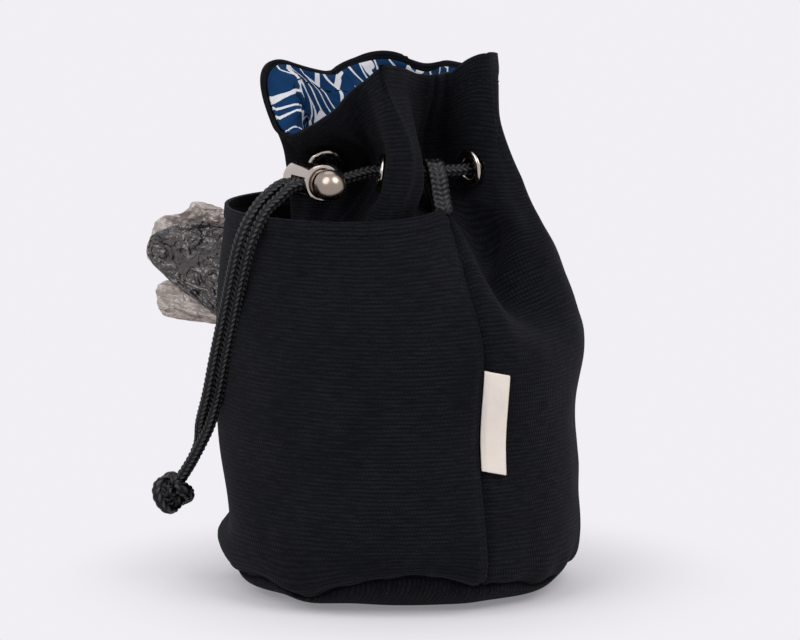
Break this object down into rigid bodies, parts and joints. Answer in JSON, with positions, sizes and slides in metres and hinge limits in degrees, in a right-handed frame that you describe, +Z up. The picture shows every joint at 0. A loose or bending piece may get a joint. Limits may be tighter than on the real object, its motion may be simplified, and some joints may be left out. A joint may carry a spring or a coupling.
{
  "type": "drawstring treat pouch",
  "caption": "Round-based canvas drawstring pouch with printed lining, front pocket, eyelets in a gathered neck, braided cord with sprung lock and a waste bag end.",
  "frame": {"origin": "centre of the base, on the table", "axes": "+Z up, -Y out of the pocket's front, +X out of the side seam with the label"},
  "size_m": [0.12, 0.1251, 0.1608],
  "materials": {
    "canvas": "black ribbed canvas",
    "lining_print": "blue and white printed cotton",
    "cord": "black braided polyester cord",
    "nickel": "polished nickel plate",
    "spring_steel": "spring wire",
    "label": "cream woven tape, left bare",
    "waste_film": "grey crinkled polythene film"
  },
  "bodies": {
    "pouch": {"front_panel": "canvas", "back_panel": "canvas", "base_panel": "canvas", "pocket_panel": "canvas", "lining_wall": "lining_print", "lining_base": "lining_print", "drawcord": "cord", "cord_tail_left": "cord", "cord_tail_right": "cord", "cord_knot": "cord", "side_loop": "cord", "eyelet_1": "nickel", "eyelet_2": "nickel", "eyelet_3": "nickel", "eyelet_4": "nickel", "eyelet_5": "nickel", "eyelet_6": "nickel", "eyelet_7": "nickel", "eyelet_8": "nickel", "eyelet_washer_1": "nickel", "eyelet_washer_2": "nickel", "eyelet_washer_3": "nickel", "eyelet_washer_4": "nickel", "eyelet_washer_5": "nickel", "eyelet_washer_6": "nickel", "eyelet_washer_7": "nickel", "eyelet_washer_8": "nickel", "lock_barrel": "nickel", "lock_spring": "spring_steel", "label_tag": "label", "waste_bag_roll": "waste_film", "waste_bag_end": "waste_film"},
    "button": {"lock_plunger": "nickel"}
  },
  "joints": [
    {"name": "lock_press", "type": "slide", "parent": "pouch", "child": "button", "axis": [-1, 0, 0], "range_m": [0, 0.0022], "stiffness_N_per_m": 500, "springref_m": -0.004, "deforming": ["lock_spring"]}
  ]
}
